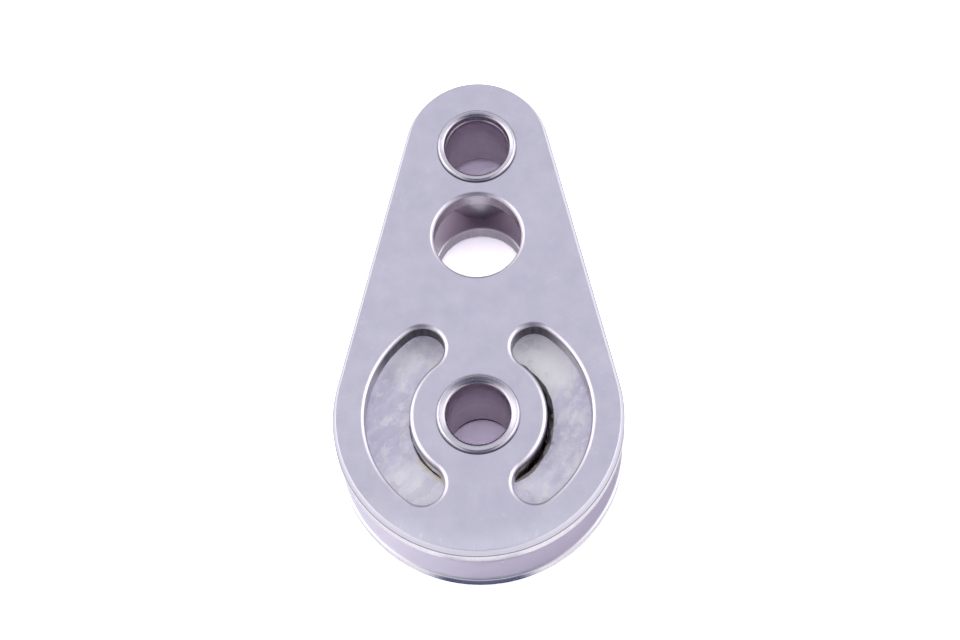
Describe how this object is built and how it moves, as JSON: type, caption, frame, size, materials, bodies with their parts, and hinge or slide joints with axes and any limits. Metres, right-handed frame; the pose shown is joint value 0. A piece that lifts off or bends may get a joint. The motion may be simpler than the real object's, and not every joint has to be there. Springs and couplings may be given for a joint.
{
  "type": "sailing block",
  "caption": "Small single rope block with pear-shaped stainless cheeks, hollow rivets, a lashing hole and a nylon sheave that turns on a ball race.",
  "frame": {"origin": "on the sheave's axis, midway between the two cheeks", "axes": "+Z along the sheave's axis, out of the top cheek; +Y towards the narrow head; +X to the right when the top cheek faces the viewer with the head up"},
  "size_m": [0.028, 0.0493, 0.0112],
  "materials": {
    "satin_steel": "satin, with fine scratches and softly rounded edges",
    "polished_steel": "polished rolled rims, with faint turning rings in the bore",
    "drawn_steel": "smooth drawn tube",
    "ball_steel": "polished",
    "natural_nylon": "natural, slightly translucent, mottled"
  },
  "bodies": {
    "shell": {"top_cheek": "satin_steel", "bottom_cheek": "satin_steel", "axle_rivet": "polished_steel", "head_rivet": "polished_steel", "race_sleeve": "drawn_steel", "head_spacer": "drawn_steel"},
    "sheave": {"sheave": "natural_nylon"},
    "balls": {"ball_upper_1": "ball_steel", "ball_upper_2": "ball_steel", "ball_upper_3": "ball_steel", "ball_upper_4": "ball_steel", "ball_upper_5": "ball_steel", "ball_upper_6": "ball_steel", "ball_upper_7": "ball_steel", "ball_upper_8": "ball_steel", "ball_upper_9": "ball_steel", "ball_upper_10": "ball_steel", "ball_upper_11": "ball_steel", "ball_upper_12": "ball_steel", "ball_upper_13": "ball_steel", "ball_upper_14": "ball_steel", "ball_lower_1": "ball_steel", "ball_lower_2": "ball_steel", "ball_lower_3": "ball_steel", "ball_lower_4": "ball_steel", "ball_lower_5": "ball_steel", "ball_lower_6": "ball_steel", "ball_lower_7": "ball_steel", "ball_lower_8": "ball_steel", "ball_lower_9": "ball_steel", "ball_lower_10": "ball_steel", "ball_lower_11": "ball_steel", "ball_lower_12": "ball_steel", "ball_lower_13": "ball_steel", "ball_lower_14": "ball_steel"}
  },
  "joints": [
    {"name": "sheave_spin", "type": "hinge", "parent": "shell", "child": "sheave", "pos_m": [0, 0, 0], "axis": [0, 0, 1], "continuous": true},
    {"name": "ball_orbit", "type": "hinge", "parent": "shell", "child": "balls", "pos_m": [0, 0, 0], "axis": [0, 0, 1], "continuous": true}
  ],
  "couplings": [
    {"joint": "ball_orbit", "follows": "sheave_spin", "ratio": 0.6175}
  ]
}
